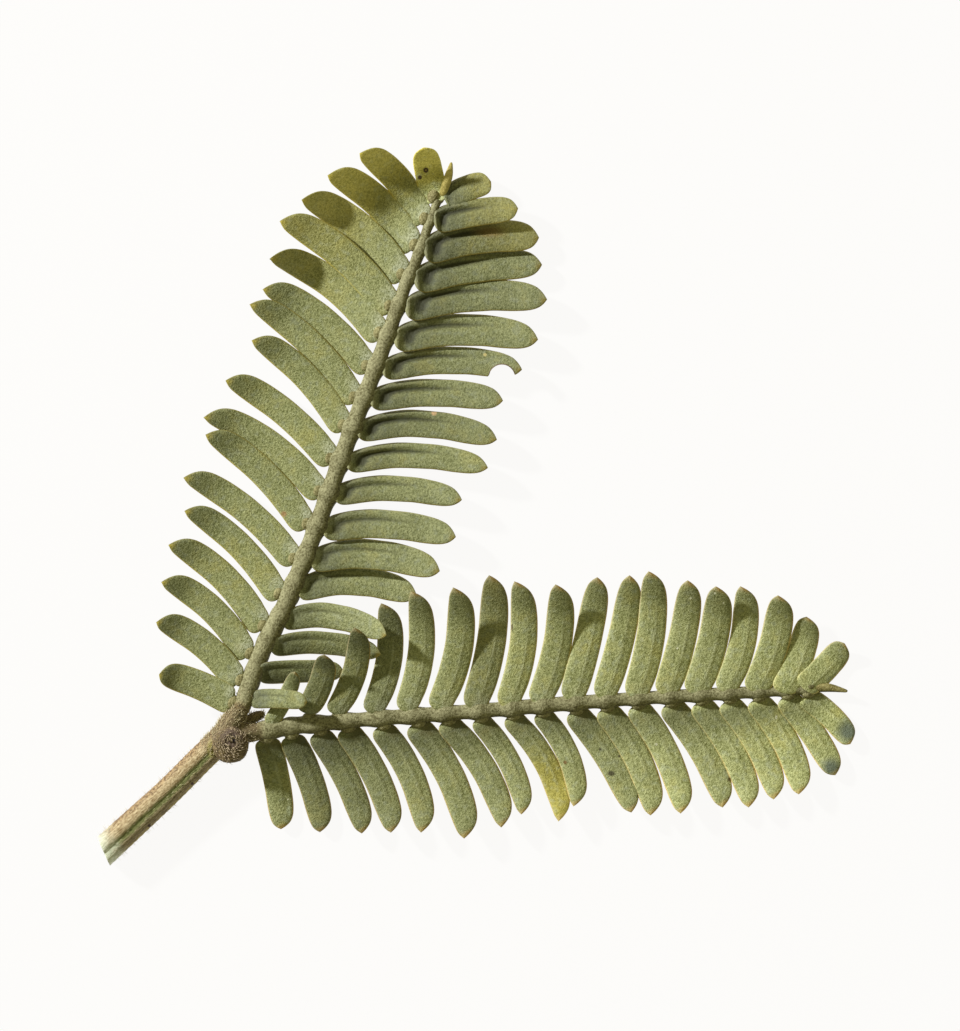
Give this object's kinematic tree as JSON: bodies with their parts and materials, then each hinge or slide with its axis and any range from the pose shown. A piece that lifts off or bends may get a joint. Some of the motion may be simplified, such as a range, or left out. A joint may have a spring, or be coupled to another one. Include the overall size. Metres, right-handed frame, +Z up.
{
  "type": "cut bipinnate wattle leaf",
  "caption": "Cut wattle leaf lying flat: a stout stalk with a round gland at its swollen joint, and two feather-like pinnae of thick grey-green leaflets along slim ribs.",
  "frame": {"origin": "centre of the bounding box in plan, at the surface that the leaf lies on", "axes": "+Z up out of the leaf's upper side, +X along the right-hand pinna, +Y towards the tip of the upper pinna"},
  "size_m": [0.042, 0.0398, 0.0028],
  "materials": {
    "leaflet_skin": "matt, finely mealy grey-green skin with olive-yellow rims",
    "stalk_bark": "ridged and hairy, pale grey-green to brown",
    "gland_skin": "rough, dark purple-brown, hairy"
  },
  "bodies": {
    "root": {"stem": "stalk_bark", "gland": "gland_skin", "upper_pinna": "leaflet_skin", "right_pinna": "leaflet_skin"}
  },
  "joints": []
}
